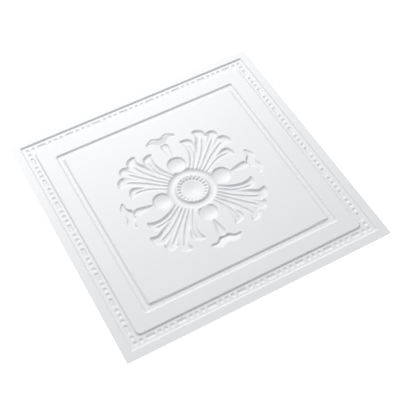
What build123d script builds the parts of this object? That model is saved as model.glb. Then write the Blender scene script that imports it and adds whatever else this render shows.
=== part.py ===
import os
from math import asin, degrees
from build123d import *

os.makedirs("parts", exist_ok=True)

# Ornamental wall panel: one thin formed sheet, its relief sunk below the flat face. Millimetres.
# The origin is at the middle of the resting plane, X and Y run along the edges, Z is up.

# Driving dimensions
SIDE = 600.0          # outer edge length
SHEET = 1.2           # sheet thickness
DEEP = 5.2            # deepest point of the relief below the flat face
TOP = DEEP + SHEET    # height of the flat face over the resting plane
BACK = TOP - SHEET    # height of the flat face's underside
GROW = 0.5            # how far a form's underside outline stands out past its mouth
LIP = 0.6             # how far a form reaches past its mouth while it is being made
HALF = SIDE / 2

# Bead band, measured from the outer edge
BAND_OUT = 18.0
BAND_IN = 45.0
BAND_DEPTH = 3.0
BAND_R_OUT = 5.0
BAND_R_IN = 9.0
BEAD_LINE = 32.0
BEAD_R = 4.8
BEAD_DEPTH = DEEP - BAND_DEPTH
BEAD_SIDES = 6        # sides of a bead's cup; its underside is a square pad
GROUP = 67.0          # from one group of three beads to the next
GROUPS = 4            # groups of beads from the middle of a side to its corner
PITCH = 13.4          # bead to bead
REEL_LEN = 21.5
REEL_WIDE = 9.4
REEL_CORNER = 2.8

# Inner square groove, measured from the outer edge
SQ_OUT = 77.0
SQ_IN = 93.0
SQ_DEPTH = 3.0
SQ_R = 7.0

# Rosette at the centre, radii and depths
RING_RIM = 53.0
RING_FLOOR_OUT = 48.0
RING_FLOOR_IN = 39.5
RING_DEPTH = 4.4
ROPE_OUT = 34.5
ROPE_IN = 26.0
ROPE_DROP = 0.6
DISH_R = 24.0
DISH_RIM_DEPTH = 2.0
DISH_DEPTH = 4.8
NOTCHES = 22
NOTCH_AT = 30.0
NOTCH_R = 3.3
NOTCH_DEPTH = 1.4
NOTCH_SIDES = 6
BACK_FILL = 0.9       # extra thickness behind the rope crest, for the notches

# Round hollows on the axes beside the ring, palmettes and bellflowers
BALL_AT = 71.5
BALL_R = 21.5
BALL_RIM = 2.0        # depth and width of the steep rim
BALL_FLOOR = 9.0      # radius of the flat floor
BALL_DEPTH = 4.4
FAN_DEPTH = 3.6
FAN_LEAN = 3.0        # how far a palmette's wall leans in on its way down
FLATS = 2             # flats along each arc of an outline
BUD_DEPTH = 3.0
BUD_LEAN = 2.4
WING_DEPTH = 3.0
WING_LEAN = 2.2

# Outlines, as each arc's start, middle and end in turn. Half of a palmette's, below its diagonal, as x
# and y from the centre: the root beside the ring, the outer lobe, the second and half the middle one
FAN = [(35.4, 35.4), (42.4, 26.5), (47.2, 16.5), (76.5, 33.3), (101.5, 39.3), (113.5, 38.3), (124.5, 34.0),
       (128.5, 46.0), (121.0, 59.0), (116.5, 61.5), (111.0, 62.0), (100.0, 59.0), (89.0, 53.5),
       (105.0, 65.5), (121.5, 71.7), (128.0, 71.6), (134.5, 69.7), (138.5, 82.0), (129.0, 94.5),
       (124.5, 97.5), (119.5, 98.0), (108.0, 93.5), (96.0, 85.5), (109.0, 97.5), (120.0, 104.5),
       (121.5, 111.0), (117.5, 117.5)]
# The right half of a bud and of a winged calyx on the +Y axis
BUD = [(0, 93.5), (4.6, 112), (7.4, 129), (5.4, 135), (0, 137)]
WINGS = [(0, 138.5), (4.0, 138.7), (8.0, 139.5), (20.0, 147.2), (36.0, 149.0), (23.0, 161.0), (9.0, 160.0),
         (5.0, 156.8), (0, 156.0)]
# Each lobe's vein: its two ends and a point on the way
VEINS = [((49.0, 26.5), (80.0, 44.8), (109.0, 49.3)), ((44.5, 34.5), (76.5, 59.0), (110.0, 80.0)),
         ((40.0, 40.0), (69.0, 69.0), (98.0, 98.0))]
VEIN_WIDE = 2.4       # at its widest
VEIN_DROP = 0.8       # how far a vein's top stays below the flat face


def trench(outer, inner, r_out, r_in, depth, grow, level):
    """A square ring with 45-degree walls: mouth at level, floor depth below, sizes as half sides."""
    with BuildPart() as ring:
        with BuildSketch(Plane.XY.offset(level + LIP)):
            RectangleRounded(2 * (outer + grow), 2 * (outer + grow), r_out + grow)
            RectangleRounded(2 * (inner - grow), 2 * (inner - grow), r_in - grow, mode=Mode.SUBTRACT)
        extrude(amount=-depth - LIP)
        chamfer(ring.faces().sort_by(Axis.Z)[0].edges(), length=depth)
    return ring.part


def hollow(half, other, lean, depth, level):
    """A sunk form from half of its outline and the other half, flats along each arc, walls leaning in."""
    outline = half + other[::-1][1:]
    arcs = [ThreePointArc(*points) for points in zip(outline[::2], outline[1::2], outline[2::2])]
    corners = [arc @ (i / FLATS) for arc in arcs for i in range(FLATS)]
    with BuildPart() as sunk:
        with BuildSketch(Plane.XY.offset(level + LIP)):
            with BuildLine():
                Polyline(*corners, close=True)
            make_face()
        extrude(amount=-depth - LIP)
        floor = sunk.faces().sort_by(Axis.Z)[0]
        chamfer(floor.edges(), length=lean, length2=depth, reference=floor)
    return sunk.part


def fan(inward, level):
    """The palmette on the diagonal between +X and +Y."""
    return hollow(FAN, [(y, x) for x, y in FAN], FAN_LEAN - inward, FAN_DEPTH, level)


def vein(start, middle, end):
    """The slender rib left standing along the middle of a lobe on the photographed face."""
    run = Vector(*end) - Vector(*start)
    side = Vector(-run.Y, run.X, 0).normalized() * VEIN_WIDE / 2
    with BuildPart() as rib:
        with BuildSketch(Plane.XY.offset(TOP - FAN_DEPTH)):
            with BuildLine():
                Polyline(start, Vector(*middle) - side, end, Vector(*middle) + side, close=True)
            make_face()
        extrude(amount=FAN_DEPTH - VEIN_DROP)
    return rib.part


def bud(inward, level):
    """The teardrop on the +Y axis, its point toward the centre."""
    return hollow(BUD, [(-x, y) for x, y in BUD], BUD_LEAN - inward, BUD_DEPTH, level)


def wings(inward, level):
    """The winged calyx on the +Y axis, round the end of the bud."""
    return hollow(WINGS, [(-x, y) for x, y in WINGS], WING_LEAN - inward, WING_DEPTH, level)


def bowl(radius, rim, depth):
    """The arc of a round bowl about Z, from its bottom out to its rim, for a turned profile."""
    curve = (radius**2 + depth**2) / (2 * depth)
    CenterArc((0, rim - depth + curve), curve, 270, degrees(asin(radius / curve)))


def rosette(grow, rope_drop, level):
    """Ring trough, rope crest and dish turned about the centre, their mouth at level."""
    floor, crest, rim = level - RING_DEPTH, level - rope_drop, level - DISH_RIM_DEPTH
    with BuildPart() as turned:
        with BuildSketch(Plane.XZ):
            with BuildLine():
                Polyline((0, level - DISH_DEPTH), (0, level), (RING_RIM + grow, level),
                         (RING_FLOOR_OUT + grow, floor), (RING_FLOOR_IN - grow, floor),
                         (ROPE_OUT - grow, crest), (ROPE_IN + grow, crest), (DISH_R + grow, rim))
                bowl(DISH_R + grow, rim, DISH_DEPTH - DISH_RIM_DEPTH)
            make_face()
        revolve(axis=Axis.Z)
    return turned.part


def ball(grow, level):
    """A shallow round hollow, turned: a steep rim, then a gentle slope down to its floor."""
    floor = level - BALL_DEPTH
    with BuildPart() as turned:
        with BuildSketch(Plane.XZ):
            with BuildLine():
                Polyline((0, floor), (0, level), (BALL_R + grow, level),
                         (BALL_R + grow - BALL_RIM, level - BALL_RIM), (BALL_FLOOR + grow, floor), close=True)
            make_face()
        revolve(axis=Axis.Z)
    return turned.part


def cup(sides, radius, depth, level):
    """A many-sided cup with 45-degree walls."""
    with BuildPart() as hollow:
        with BuildSketch(Plane.XY.offset(level + LIP)):
            RegularPolygon(radius, sides)
        extrude(amount=-depth - LIP)
        chamfer(hollow.faces().sort_by(Axis.Z)[0].edges(), length=depth)
    return hollow.part


def block(length, wide, corner, depth, level):
    """An oblong along X with 45-degree walls, its corners cut off."""
    with BuildPart() as hollow:
        with BuildSketch(Plane.XY.offset(level + LIP)):
            corners = Rectangle(length, wide).vertices()
            if corner:
                chamfer(corners, length=corner)
        extrude(amount=-depth - LIP)
        chamfer(hollow.faces().sort_by(Axis.Z)[0].edges(), length=depth)
    return hollow.part


def around(pieces):
    """The pieces at each quarter turn about the centre."""
    return [Rot(0, 0, turn) * piece for turn in (0, 90, 180, 270) for piece in pieces]


def forms(level, grow, bead, reel):
    """The forms that both faces have, their mouth at level; grow spreads them for the underside."""
    line = HALF - BEAD_LINE
    band = [trench(HALF - BAND_OUT, HALF - BAND_IN, BAND_R_OUT, BAND_R_IN, BAND_DEPTH, grow, level)]
    square = [trench(HALF - SQ_OUT, HALF - SQ_IN, SQ_R, SQ_R, SQ_DEPTH, grow, level)]
    quarter = [Pos(0, BALL_AT, 0) * ball(grow, level)]
    quarter += [bud(2 * grow, level), wings(2 * grow, level), fan(2 * grow, level)]
    for k in range(-GROUPS, GROUPS + 1):
        for place in (k * GROUP - PITCH, k * GROUP, k * GROUP + PITCH):
            if -line < place <= line:
                quarter.append(Pos(place, line, 0) * bead)
    for k in range(-GROUPS, GROUPS):
        quarter.append(Pos((k + 0.5) * GROUP, line, 0) * reel)
    return band + square + around(quarter)


DIAGONAL = Plane(origin=(0, 0, 0), x_dir=(1, 1, 0), z_dir=(1, -1, 0))
veins = [vein(*points) for points in VEINS]
veins += [rib.mirror(DIAGONAL) for rib in veins[:2]]
standing = around(veins)
notch = Pos(NOTCH_AT, 0, 0) * cup(NOTCH_SIDES, NOTCH_R, NOTCH_DEPTH, TOP - ROPE_DROP)
face_low = TOP - BAND_DEPTH
back_low = BACK - BAND_DEPTH
face_bead = cup(BEAD_SIDES, BEAD_R, BEAD_DEPTH, face_low)
back_bead = block(2 * (BEAD_R + GROW), 2 * (BEAD_R + GROW), 0, BEAD_DEPTH, back_low)
face_reel = block(REEL_LEN, REEL_WIDE, REEL_CORNER, BEAD_DEPTH, face_low)
back_reel = block(REEL_LEN + 2 * GROW, REEL_WIDE + 2 * GROW, 0, BEAD_DEPTH, back_low)
face_forms = forms(TOP, 0.0, face_bead, face_reel) + [rosette(0.0, ROPE_DROP, TOP)]
back_forms = forms(BACK, GROW, back_bead, back_reel) + [rosette(GROW, ROPE_DROP + BACK_FILL, BACK)]

with BuildPart() as cutter:
    add(face_forms)
    add(standing, mode=Mode.SUBTRACT)

with BuildPart() as panel:
    with BuildSketch(Plane.XY.offset(BACK)):
        Rectangle(SIDE, SIDE)
    extrude(amount=SHEET)
    add(back_forms)
    add(cutter.part, mode=Mode.SUBTRACT)
    with PolarLocations(0, NOTCHES):
        add(notch, mode=Mode.SUBTRACT)

panel.part.label = "panel"
export_step(panel.part, "parts/panel.step")
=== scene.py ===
from math import radians

import bpy
import numpy as np
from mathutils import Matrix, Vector


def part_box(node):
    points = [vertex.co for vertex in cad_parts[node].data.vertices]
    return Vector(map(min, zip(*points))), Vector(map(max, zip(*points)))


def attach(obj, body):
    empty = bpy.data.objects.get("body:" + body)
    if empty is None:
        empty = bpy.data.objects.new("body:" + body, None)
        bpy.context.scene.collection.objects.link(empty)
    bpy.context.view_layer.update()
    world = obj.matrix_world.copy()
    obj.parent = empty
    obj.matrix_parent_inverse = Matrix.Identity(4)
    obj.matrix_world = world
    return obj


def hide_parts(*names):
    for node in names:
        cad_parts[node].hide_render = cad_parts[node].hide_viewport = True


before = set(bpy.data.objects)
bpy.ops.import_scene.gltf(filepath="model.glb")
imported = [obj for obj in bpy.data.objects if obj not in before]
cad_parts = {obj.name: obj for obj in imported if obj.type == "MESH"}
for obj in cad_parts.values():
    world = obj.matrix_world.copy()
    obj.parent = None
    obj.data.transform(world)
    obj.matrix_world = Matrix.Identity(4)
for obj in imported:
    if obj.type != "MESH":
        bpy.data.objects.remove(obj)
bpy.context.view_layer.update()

# The panel in millimetres, as the part's source has it. Its frame is the part's: the origin at the
# middle of the resting plane, Z up. Overall sizes are read from the loaded model.
low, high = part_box("panel")
MM = 0.001
HALF = (high.x - low.x) / 2 / MM
TOP = (high.z - low.z) / MM
SHEET = 1.2

# A slope is thicker than the flat sheet when it is measured straight down, by this factor at most
STEEP_MOST = 1.35

# Bead band: half sides of its rims, their corner radii, its depth and the width of its walls
BAND_OUT = HALF - 17.9
BAND_IN = HALF - 45.0
BAND_OUT_CORNER = 5.0
BAND_IN_CORNER = 9.0
BAND_DEPTH = 3.0
BAND_WALL = 4.5

# Groups of three beads with a reel between groups, on one line and sunk in the band's floor. The
# corners have a bead and no reel.
BEAD_LINE = HALF - 32.0
BEAD_R = 4.8
BEAD_DEPTH = 1.7
GROUP = 67.0
PITCH = 13.4
REEL_LEN = 21.5
REEL_WIDE = 9.4
REEL_END = 2.6
CORNER_CLEAR = 8.0
CUP_CURVE = 1.7

# Plain square groove
SQ_OUT = HALF - 77.1
SQ_IN = HALF - 93.4
SQ_CORNER = 7.0
SQ_DEPTH = 3.0
SQ_WALL = 5.2

# Rosette: radius and depth along its profile, from the dish's middle out to the ring's rim, how
# finely the profile is read and over how many of those steps, each way, its corners are rounded
PROFILE = [(0, 5.2), (2.5, 5.2), (8, 4.8), (15, 4.2), (20, 3.7), (23.4, 3.5), (25.5, 3.1),
           (27, 1.3), (28.4, 0.8), (30, 0.6), (32, 0.45), (33.8, 0.45), (35.2, 1.0),
           (36.6, 2.3), (38, 3.6), (39.4, 4.3), (42, 4.6), (46, 4.6), (48.5, 4.3),
           (50.5, 3.6), (52.4, 2.4), (54, 1.0), (55.4, 0.1), (60, 0)]
PROFILE_STEPS = 600
PROFILE_SOFT = 9

# Notches round the crest
NOTCHES = 22
NOTCH_AT = 29.2
NOTCH_SPAN = 5.0
NOTCH_DEPTH = 1.9

# The forms round the ring start past its crest, over this distance
FORMS_FROM = 44.0
FORMS_RUN = 4.0

# Round hollow on each axis: a steep rim and a bowl
BALL_AT = 71.5
BALL_R = 21.8
BALL_RIM = 2.0
BALL_RIM_WIDE = 3.5
BALL_RIM_SOFT = 0.35
BALL_DEPTH = 4.9

# Palmette below the diagonal, as x and y from the centre: the lobes' shared outline from the ring to
# the diagonal, the veins down the middle of each lobe, and the low ridges that rise between lobes
FAN = [(36, 8), (50.5, 17.5), (63.5, 26.5), (76.5, 33), (91.5, 37.8), (101.5, 39), (113.5, 38),
       (124.5, 34), (126.6, 41), (125.4, 49.8), (120.4, 58), (113.6, 61.6), (107, 62), (111.5, 66.8),
       (121.5, 71.5), (134.5, 69.7), (138.2, 76), (136, 86.6), (128.6, 94.4), (121.8, 96.8),
       (118.2, 97.4), (120.4, 103), (120.6, 109.5), (117, 117)]
VEINS = [[(40, 20.5), (47.5, 25.5), (61.5, 34.5), (73.5, 42), (84.5, 46.5), (95.5, 49),
          (108, 49.5), (116, 48)],
         [(37, 29), (43.5, 33.5), (51.5, 39.5), (61.5, 48.5), (76.5, 60.5), (91.5, 70.5),
          (106.5, 79), (120, 84)],
         [(33, 33), (105, 105)]]
GAPS = [[(72, 44.5), (84, 51), (95, 57), (103, 61), (112, 65)],
        [(88, 77.5), (98, 86.5), (108, 94.5), (117, 101)]]
FAN_DEPTH = 3.7
FAN_WALL = 6.4

# Beside the ring the palmette has this share of its depth
FAN_ROOT = 0.6
FAN_ROOT_AT = 54.0
FAN_ROOT_RUN = 30.0

# Veins and ridges: half widths, the veins' height, the share of their length over which they fade and
# the softness of that fade, the share of the palmette's depth that each ridge fills, and the power
# that gives veins and ridges their sharp tops
VEIN_WIDE = 3.6
VEIN_RISE = 2.2
VEIN_FADE = 0.12
VEIN_SOFT = 0.4
GAP_WIDE = [5.4, 5.0]
GAP_RISE = [1.0, 0.35]
RIDGE_CURVE = 1.4

# Bellflower on the +X axis, as x along the axis and y across, half of it: the bud and the calyx
BUD = [(92, 0), (93.5, 2.2), (103, 5), (112, 7.2), (121, 9.2), (128, 9.8), (133, 8.6),
       (137.4, 5), (140.2, 0)]
WING = [(137.4, 0), (136.8, 4), (136.6, 8), (138.2, 12), (143.2, 17), (145.6, 20.5), (146.2, 25),
        (146, 33), (148.4, 36), (152, 34.5), (158, 27), (161.8, 18.5), (160.6, 12), (157.4, 5),
        (156.6, 0)]
BUD_DEPTH = 3.4
BUD_WALL = 6.5
WING_DEPTH = 4.4
WING_WALL = 4.0

# The calyx's floor rises by this share of its depth, from beside the bud outward
WING_LIFT = 0.6
WING_LIFT_AT = 141.0
WING_LIFT_RUN = 15.0

# Walls of the outlined hollows: the power that makes them steep at the top, their rounded lip, and
# how far a smooth outline may pass the points that it is drawn through
WALL_CURVE = 1.9
LIP_WIDE = 0.8
OUTLINE_SPARE = 2.0

# A ramp with this softness has no straight middle
ROUND = 0.5

# The square that the ornament's pieces fill, and the grid over which its repeated forms are worked out
ORNAMENT_HALF = 166.0
TABLE_STEP = 0.4

# Meshes: grid steps of the band and groove and of the ornament on each side, the share of that step
# that is used across the groove, and the steps along and across the flats
FACE_STEP = 0.75
BACK_STEP = 1.25
FACE_ORNAMENT_STEP = 2 * TABLE_STEP
BACK_ORNAMENT_STEP = 3 * TABLE_STEP
GROOVE_SHARE = 0.8
FLAT_STEP = 40.0
STRIP_STEP = 20.0

# The pieces meet on the flats, this far past the rims of the band and the groove
SEAM = 1.0

# Light: a broad lamp beyond the far edge and a weak even surround. Places are in metres.
KEY_PLACE = (0.20, 2.80, 2.75)
KEY_SIZE = (3.5, 1.2)
KEY_POWER = 123.0
WORLD_LIGHT = 0.42

# Floor, in metres, just under the panel so that the two don't share a plane
FLOOR_SIDE = 12.0
FLOOR_DROP = 0.0004
FLOOR_WHITE = 0.9

# The camera, solved from the panel's four corners in the photograph: its place in metres from the
# middle of the flat face, its turn in degrees about X, Y and Z, and its lens and sensor in millimetres
CAMERA_PLACE = (-0.50794, -1.03120, 1.55422)
CAMERA_TURN = (35.6850, 1.1609, -28.6089)
CAMERA_LENS = 81.77
SENSOR_WIDE = 36.0


def ramp(t, soft=0.3):
    """0 to 1 along t with both ends rounded and a straight middle."""
    t = np.clip(t, 0, 1)
    slope = 1 / (1 - soft)
    start = slope * t * t / (2 * soft)
    end = 1 - slope * (1 - t) ** 2 / (2 * soft)
    return np.where(t < soft, start, np.where(t > 1 - soft, end, slope * (t - soft / 2)))


def rounded_square(x, y, half, corner):
    """Distance to a square with rounded corners, negative inside."""
    qx, qy = np.abs(x) - half + corner, np.abs(y) - half + corner
    outside = np.hypot(np.maximum(qx, 0), np.maximum(qy, 0))
    return outside + np.minimum(np.maximum(qx, qy), 0) - corner


def smooth_line(points, step=1.0):
    """Points along a smooth curve through the given ones, about a step apart."""
    p = np.array(points, float)
    ends = np.vstack([2 * p[0] - p[1], p, 2 * p[-1] - p[-2]])
    out = []
    for a, b, c, d in zip(ends[:-3], ends[1:-2], ends[2:-1], ends[3:]):
        n = max(int(np.hypot(*(c - b)) / step), 2)
        for t in np.arange(n) / n:
            out.append(0.5 * (2 * b + (c - a) * t + (2 * a - 5 * b + 4 * c - d) * t**2
                              + (3 * b - a - 3 * c + d) * t**3))
    return np.array(out + [p[-1]])


def to_line(x, y, line):
    """Distance from each point to a line of points, and how far along it the nearest place is."""
    best = np.full(x.shape, np.inf)
    where = np.zeros(x.shape)
    lengths = np.hypot(*np.diff(line, axis=0).T)
    total, run = lengths.sum(), 0.0
    for (ax, ay), (bx, by), length in zip(line[:-1], line[1:], lengths):
        t = np.clip(((x - ax) * (bx - ax) + (y - ay) * (by - ay)) / length**2, 0, 1)
        d = np.hypot(x - ax - t * (bx - ax), y - ay - t * (by - ay))
        near = d < best
        best = np.where(near, d, best)
        where = np.where(near, (run + t * length) / total, where)
        run += length
    return best, where


def inside(x, y, line):
    """Whether each point is inside the closed outline."""
    found = np.zeros(x.shape, bool)
    for (ax, ay), (bx, by) in zip(line, np.roll(line, -1, axis=0)):
        if ay != by:
            crosses = ((ay > y) != (by > y)) & (x < (bx - ax) * (y - ay) / (by - ay) + ax)
            found ^= crosses
    return found


def scoop(x, y, closed, walls, wide):
    """0 outside the closed outline, rising steeply and then gently to 1 where its walls end."""
    edge, _ = to_line(x, y, walls)
    t = np.clip(edge / wide, 0, 1)
    lip = ramp(edge / LIP_WIDE, ROUND)
    return np.where(inside(x, y, closed), (1 - (1 - t) ** WALL_CURVE) * lip, 0)


def hollow(x, y, outline, wide):
    """The scoop inside an outline that is given for one side of the X axis and mirrored in it."""
    half = smooth_line(outline)
    closed = np.vstack([half, (half * (1, -1))[-2::-1]])
    return scoop(x, y, closed, closed, wide)


def ridge(far, wide):
    """1 on a ridge's line, falling to 0 at its half width."""
    return np.clip(1 - far / wide, 0, 1) ** RIDGE_CURVE


def band_depth(x, y):
    """The bead band: its channel, and the beads and reels sunk in the channel's floor."""
    outer = -rounded_square(x, y, BAND_OUT, BAND_OUT_CORNER)
    inner = rounded_square(x, y, BAND_IN, BAND_IN_CORNER)
    channel = np.minimum(ramp(outer / BAND_WALL), ramp(inner / BAND_WALL))
    across = np.maximum(np.abs(x), np.abs(y)) - BEAD_LINE
    along = np.minimum(np.abs(x), np.abs(y))
    return BAND_DEPTH * channel + BEAD_DEPTH * np.maximum(beads(across, along), reels(across, along))


def beads(across, along):
    """1 at the middle of each bead, 0 outside the beads."""
    group = np.round(along / GROUP) * GROUP
    bead = group + PITCH * np.clip(np.round((along - group) / PITCH), -1, 1)
    bead = np.minimum(bead, BEAD_LINE)
    far = np.hypot(across, along - bead) / BEAD_R
    return np.clip(1 - far**CUP_CURVE, 0, 1)


def reels(across, along):
    """1 along the middle of each reel, 0 outside the reels."""
    reel = np.abs(along - (np.floor(along / GROUP) + 0.5) * GROUP)
    ends = ramp((REEL_LEN / 2 - reel) / REEL_END)
    sides = np.clip(1 - (np.abs(across) / (REEL_WIDE / 2)) ** CUP_CURVE, 0, 1)
    return np.where(along < BEAD_LINE - CORNER_CLEAR, ends * sides, 0)


def square_depth(x, y):
    """The plain square groove."""
    outer = -rounded_square(x, y, SQ_OUT, SQ_CORNER)
    inner = rounded_square(x, y, SQ_IN, SQ_CORNER)
    return SQ_DEPTH * np.minimum(ramp(outer / SQ_WALL), ramp(inner / SQ_WALL))


def rosette_depth(x, y):
    """The ring, its notched crest and the dish."""
    r = np.hypot(x, y)
    fine = np.linspace(0, PROFILE[-1][0], PROFILE_STEPS + 1)
    depth = np.interp(fine, *zip(*PROFILE))
    kernel = np.hanning(2 * PROFILE_SOFT + 1)
    padded = np.pad(depth, PROFILE_SOFT, mode="edge")
    depth = np.interp(r, fine, np.convolve(padded, kernel / kernel.sum(), mode="valid"))
    turn = np.cos(NOTCHES * np.arctan2(y, x))
    span = np.clip(1 - (np.abs(r - NOTCH_AT) / NOTCH_SPAN) ** 2, 0, 1)
    return depth + NOTCH_DEPTH * span * (0.5 + 0.5 * turn)


def palmette_depth(x, y):
    """The palmette, given for points on or below its diagonal."""
    half = smooth_line(FAN[1:])
    closed = np.vstack([[FAN[0]], half, half[-2::-1, ::-1], [FAN[0][::-1]]])
    fan = FAN_DEPTH * scoop(x, y, closed, closed[1:-1], FAN_WALL)
    fan *= FAN_ROOT + (1 - FAN_ROOT) * ramp((np.hypot(x, y) - FAN_ROOT_AT) / FAN_ROOT_RUN)
    rise = np.zeros(x.shape)
    for line in VEINS:
        far, t = to_line(x, y, smooth_line(line))
        fade = ramp((1 - t) / VEIN_FADE, VEIN_SOFT)
        rise = np.maximum(rise, VEIN_RISE * ridge(far, VEIN_WIDE) * fade)
    gap = np.zeros(x.shape)
    for line, wide, share in zip(GAPS, GAP_WIDE, GAP_RISE):
        far, t = to_line(x, y, smooth_line(line))
        gap = np.maximum(gap, share * ridge(far, wide) * ramp(t, ROUND))
    return np.clip(fan - rise, 0, None) * (1 - gap)


def ball_depth(x, y):
    """The round hollow on the +X axis."""
    rim = BALL_R - np.hypot(x - BALL_AT, y)
    bowl = np.clip(1 - ((BALL_R - rim) / BALL_R) ** 2, 0, 1)
    depth = BALL_RIM * ramp(rim / BALL_RIM_WIDE, BALL_RIM_SOFT) + (BALL_DEPTH - BALL_RIM) * bowl
    return np.where(rim > 0, depth, 0)


def bud_depth(x, y):
    """The bellflower's bud on the +X axis."""
    return BUD_DEPTH * hollow(x, y, BUD, BUD_WALL)


def wing_depth(x, y):
    """The winged calyx on the +X axis, deepest beside the bud."""
    floor = np.clip(1 - WING_LIFT * (x - WING_LIFT_AT) / WING_LIFT_RUN, 1 - WING_LIFT, 1)
    return WING_DEPTH * floor * hollow(x, y, WING, WING_WALL)


def beside(x, y, outline):
    """Whether each point is in the box round an outline."""
    xs, ys = zip(*outline)
    in_x = (x > min(xs) - OUTLINE_SPARE) & (x < max(xs) + OUTLINE_SPARE)
    in_y = (y > min(ys) - OUTLINE_SPARE) & (y < max(ys) + OUTLINE_SPARE)
    return in_x & in_y


def make_table():
    """The depth of the forms that repeat about the axes and the diagonals, over one quadrant."""
    places = np.arange(0, ORNAMENT_HALF + 2 * TABLE_STEP, TABLE_STEP)
    x, y = np.meshgrid(places, places)
    table = np.where(x >= y, ball_depth(x, y), 0)
    for outline, form in ((BUD, bud_depth), (WING, wing_depth), (FAN, palmette_depth)):
        near = (x >= y) & beside(x, y, outline)
        table[near] = np.maximum(table[near], form(x[near], y[near]))
    return np.maximum(table, table.T)


def ornament_depth(x, y):
    """The centre of the panel: the rosette over the forms that repeat round it."""
    a, b = np.abs(x) / TABLE_STEP, np.abs(y) / TABLE_STEP
    i, j = np.floor(a).astype(int), np.floor(b).astype(int)
    u, v = a - i, b - j
    forms = ((TABLE[j, i] * (1 - u) + TABLE[j, i + 1] * u) * (1 - v)
             + (TABLE[j + 1, i] * (1 - u) + TABLE[j + 1, i + 1] * u) * v)
    outside = ramp((np.hypot(x, y) - FORMS_FROM) / FORMS_RUN)
    return np.maximum(rosette_depth(x, y), forms * outside)


def no_depth(x, y):
    """The flats."""
    return np.zeros(x.shape)


def ticks(*spans):
    """Grid places: each span is a start, an end and a step."""
    out = [np.linspace(a, b, max(int(round((b - a) / step)), 1) + 1) for a, b, step in spans]
    return np.unique(np.round(np.concatenate(out), 5))


def patch(xs, ys, depth, side):
    """Points and faces of one side of the sheet over a rectangle."""
    x, y = np.meshgrid(xs, ys)
    d = depth(x, y)
    z = TOP - d
    if side == "back":
        slope = np.hypot(*np.gradient(d, ys, xs))
        z = np.maximum(z - SHEET * np.minimum(np.hypot(1, slope), STEEP_MOST), 0)
    points = np.stack([x, y, z], -1).reshape(-1, 3)
    rows, cols = x.shape
    i = (np.arange(rows - 1)[:, None] * cols + np.arange(cols - 1)).ravel()
    quads = np.stack([i, i + 1, i + cols + 1, i + cols], -1)
    if side == "back":
        quads = quads[:, ::-1]
    return points, quads


def add_piece(name, mesh, material):
    """A piece that stands for the plain panel and rides on the root body."""
    mesh.materials.append(material)
    piece = bpy.data.objects.new(name, mesh)
    bpy.context.scene.collection.objects.link(piece)
    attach(piece, "root")
    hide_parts("panel")


def sheet_piece(name, patches, material):
    """One smooth piece made of the patches."""
    points, faces, start = [], [], 0
    for p, f in patches:
        points.append(p)
        faces.append(f + start)
        start += len(p)
    points, faces = np.vstack(points) * MM, np.vstack(faces)
    mesh = bpy.data.meshes.new(name)
    mesh.vertices.add(len(points))
    mesh.vertices.foreach_set("co", points.astype(np.float32).ravel())
    mesh.loops.add(faces.size)
    mesh.loops.foreach_set("vertex_index", faces.astype(np.int32).ravel())
    mesh.polygons.add(len(faces))
    mesh.polygons.foreach_set("loop_start", np.arange(0, faces.size, 4, dtype=np.int32))
    mesh.polygons.foreach_set("loop_total", np.full(len(faces), 4, np.int32))
    mesh.polygons.foreach_set("use_smooth", np.ones(len(faces), bool))
    mesh.update(calc_edges=True)
    mesh.validate()
    add_piece(name, mesh, material)


def band_pieces(side, step, material):
    """The four sides of the bead band. The far and near ones have the corners."""
    out, inn = BAND_OUT + SEAM, BAND_IN - SEAM
    long, short, band = ticks((-out, out, step)), ticks((-inn, inn, step)), ticks((inn, out, step))
    for name, xs, ys in (("far", long, band), ("near", long, -band[::-1]),
                         ("left", -band[::-1], short), ("right", band, short)):
        sheet_piece(f"band_{name}_{side}", [patch(xs, ys, band_depth, side)], material)


def groove_piece(side, step, material):
    """The square groove, finely divided across it and at its corners."""
    out, inn = SQ_OUT + SEAM, SQ_IN - SEAM
    across = ticks((inn, out, step * GROOVE_SHARE))
    run = ticks((-out, -inn, step), (-inn, inn, FLAT_STEP), (inn, out, step))
    middle = ticks((-inn, inn, FLAT_STEP))
    groove = [patch(run, across, square_depth, side), patch(run, -across[::-1], square_depth, side),
              patch(-across[::-1], middle, square_depth, side), patch(across, middle, square_depth, side)]
    sheet_piece(f"square_groove_{side}", groove, material)


def ornament_pieces(side, step, material):
    """The centre of the panel in quarters."""
    plus = ticks((0, ORNAMENT_HALF, step))
    minus = -plus[::-1]
    for name, xs, ys in (("far_right", plus, plus), ("far_left", minus, plus),
                         ("near_right", plus, minus), ("near_left", minus, minus)):
        sheet_piece(f"ornament_{name}_{side}", [patch(xs, ys, ornament_depth, side)], material)


def flats_piece(side, material):
    """The margin, the frame between band and groove, and the field round the ornament."""
    flats = []
    for inner, outer in ((BAND_OUT + SEAM, HALF), (SQ_OUT + SEAM, BAND_IN - SEAM),
                         (ORNAMENT_HALF, SQ_IN - SEAM)):
        wide, strip = ticks((-outer, outer, FLAT_STEP)), ticks((inner, outer, STRIP_STEP))
        middle = ticks((-inner, inner, FLAT_STEP))
        flats += [patch(wide, strip, no_depth, side), patch(wide, -strip[::-1], no_depth, side),
                  patch(-strip[::-1], middle, no_depth, side), patch(strip, middle, no_depth, side)]
    sheet_piece(f"flats_{side}", flats, material)


def rim_piece(material):
    """The cut edge all round the sheet."""
    loop = [(-HALF, -HALF), (HALF, -HALF), (HALF, HALF), (-HALF, HALF)]
    points = [(x * MM, y * MM, z * MM) for z in (TOP - SHEET, TOP) for x, y in loop]
    faces = [(i, (i + 1) % 4, (i + 1) % 4 + 4, i + 4) for i in range(4)]
    mesh = bpy.data.meshes.new("cut_edge")
    mesh.from_pydata(points, [], faces)
    add_piece("cut_edge", mesh, material)


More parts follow.
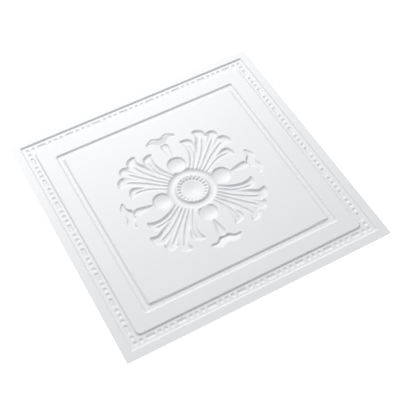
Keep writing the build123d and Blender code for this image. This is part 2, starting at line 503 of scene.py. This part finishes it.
def build_panel(material):
    """The sheet in pieces that meet on its flat parts."""
    for side, step, ornament_step in (("face", FACE_STEP, FACE_ORNAMENT_STEP),
                                      ("back", BACK_STEP, BACK_ORNAMENT_STEP)):
        band_pieces(side, step, material)
        groove_piece(side, step, material)
        ornament_pieces(side, ornament_step, material)
        flats_piece(side, material)
    rim_piece(material)


def white_sheet():
    """Plain white moulded plastic with a soft gloss, faintly uneven in tone and surface."""
    m = bpy.data.materials.new("white_sheet")
    m.use_nodes = True
    nodes, links = m.node_tree.nodes, m.node_tree.links
    shader = nodes["Principled BSDF"]
    shader.inputs["IOR"].default_value = 1.5
    place = nodes.new("ShaderNodeTexCoord")
    cloud = nodes.new("ShaderNodeTexNoise")
    cloud.inputs["Scale"].default_value = 9.0
    cloud.inputs["Detail"].default_value = 3.0
    tone = nodes.new("ShaderNodeValToRGB")
    tone.color_ramp.elements[0].position = 0.3
    tone.color_ramp.elements[1].position = 0.7
    tone.color_ramp.elements[0].color = (0.826, 0.828, 0.840, 1)
    tone.color_ramp.elements[1].color = (0.842, 0.844, 0.856, 1)
    gloss = nodes.new("ShaderNodeMapRange")
    gloss.inputs["To Min"].default_value = 0.39
    gloss.inputs["To Max"].default_value = 0.43
    grain = nodes.new("ShaderNodeTexNoise")
    grain.inputs["Scale"].default_value = 420.0
    grain.inputs["Detail"].default_value = 2.0
    bump = nodes.new("ShaderNodeBump")
    bump.inputs["Strength"].default_value = 0.06
    bump.inputs["Distance"].default_value = 0.0003
    links.new(place.outputs["Object"], cloud.inputs["Vector"])
    links.new(place.outputs["Object"], grain.inputs["Vector"])
    links.new(cloud.outputs["Fac"], tone.inputs["Fac"])
    links.new(tone.outputs["Color"], shader.inputs["Base Color"])
    links.new(cloud.outputs["Fac"], gloss.inputs["Value"])
    links.new(gloss.outputs["Result"], shader.inputs["Roughness"])
    links.new(grain.outputs["Fac"], bump.inputs["Height"])
    links.new(bump.outputs["Normal"], shader.inputs["Normal"])
    return m


def white_to_camera(tree, kind, strength):
    """A white shader, and a socket that is 1 where the camera or a reflection should see it."""
    nodes, links = tree.nodes, tree.links
    rays = nodes.new("ShaderNodeLightPath")
    first = nodes.new("ShaderNodeMath")
    first.operation = "MAXIMUM"
    seen = nodes.new("ShaderNodeMath")
    seen.operation = "MAXIMUM"
    links.new(rays.outputs["Is Camera Ray"], first.inputs[0])
    links.new(rays.outputs["Is Glossy Ray"], first.inputs[1])
    links.new(first.outputs[0], seen.inputs[0])
    links.new(rays.outputs["Is Transmission Ray"], seen.inputs[1])
    white = nodes.new(kind)
    white.inputs["Color"].default_value = (1, 1, 1, 1)
    white.inputs["Strength"].default_value = strength
    return white, seen.outputs[0]


def make_world():
    """A weak even surround, seen as plain white."""
    world = bpy.data.worlds.new("studio")
    bpy.context.scene.world = world
    world.use_nodes = True
    nodes, links = world.node_tree.nodes, world.node_tree.links
    plain = nodes["Background"]
    plain.inputs["Color"].default_value = (0.95, 0.97, 1.0, 1)
    plain.inputs["Strength"].default_value = WORLD_LIGHT
    white, seen = white_to_camera(world.node_tree, "ShaderNodeBackground", 1.0)
    mix = nodes.new("ShaderNodeMixShader")
    links.new(seen, mix.inputs[0])
    links.new(plain.outputs[0], mix.inputs[1])
    links.new(white.outputs[0], mix.inputs[2])
    links.new(mix.outputs[0], nodes["World Output"].inputs["Surface"])


def floor_white():
    """A plain pale surface that the camera sees as white with the panel's soft shadow on it."""
    m = bpy.data.materials.new("floor_white")
    m.use_nodes = True
    nodes, links = m.node_tree.nodes, m.node_tree.links
    nodes.remove(nodes["Principled BSDF"])
    plain = nodes.new("ShaderNodeBsdfDiffuse")
    plain.inputs["Color"].default_value = (0.82, 0.82, 0.83, 1)
    white, seen = white_to_camera(m.node_tree, "ShaderNodeEmission", FLOOR_WHITE)
    both = nodes.new("ShaderNodeAddShader")
    mix = nodes.new("ShaderNodeMixShader")
    links.new(plain.outputs[0], both.inputs[0])
    links.new(white.outputs[0], both.inputs[1])
    links.new(seen, mix.inputs[0])
    links.new(plain.outputs[0], mix.inputs[1])
    links.new(both.outputs[0], mix.inputs[2])
    links.new(mix.outputs[0], nodes["Material Output"].inputs["Surface"])
    return m


def make_floor():
    """The floor under the panel's lowest points."""
    bpy.ops.mesh.primitive_plane_add(size=FLOOR_SIDE, location=(0, 0, -FLOOR_DROP))
    floor = bpy.context.object
    floor.name = "floor"
    floor.data.materials.append(floor_white())


def make_key_light():
    """The broad lamp, turned to the middle of the panel."""
    lamp = bpy.data.lights.new("key", "AREA")
    lamp.shape = "RECTANGLE"
    lamp.size, lamp.size_y = KEY_SIZE
    lamp.energy = KEY_POWER
    lamp.color = (1.0, 0.995, 0.985)
    key = bpy.data.objects.new("key", lamp)
    key.location = KEY_PLACE
    key.rotation_mode = "QUATERNION"
    key.rotation_quaternion = (-Vector(KEY_PLACE)).to_track_quat("-Z", "Y")
    bpy.context.scene.collection.objects.link(key)


def make_camera():
    """The camera at the photograph's place and angle."""
    data = bpy.data.cameras.new("camera")
    data.sensor_width = SENSOR_WIDE
    data.lens = CAMERA_LENS
    data.clip_start, data.clip_end = 0.01, 50
    camera = bpy.data.objects.new("camera", data)
    camera.location = Vector(CAMERA_PLACE) + Vector((0, 0, TOP * MM))
    camera.rotation_euler = [radians(turn) for turn in CAMERA_TURN]
    bpy.context.scene.collection.objects.link(camera)
    bpy.context.scene.camera = camera


TABLE = make_table()
build_panel(white_sheet())
make_world()
make_floor()
make_key_light()
make_camera()
bpy.context.scene.view_settings.view_transform = "Standard"
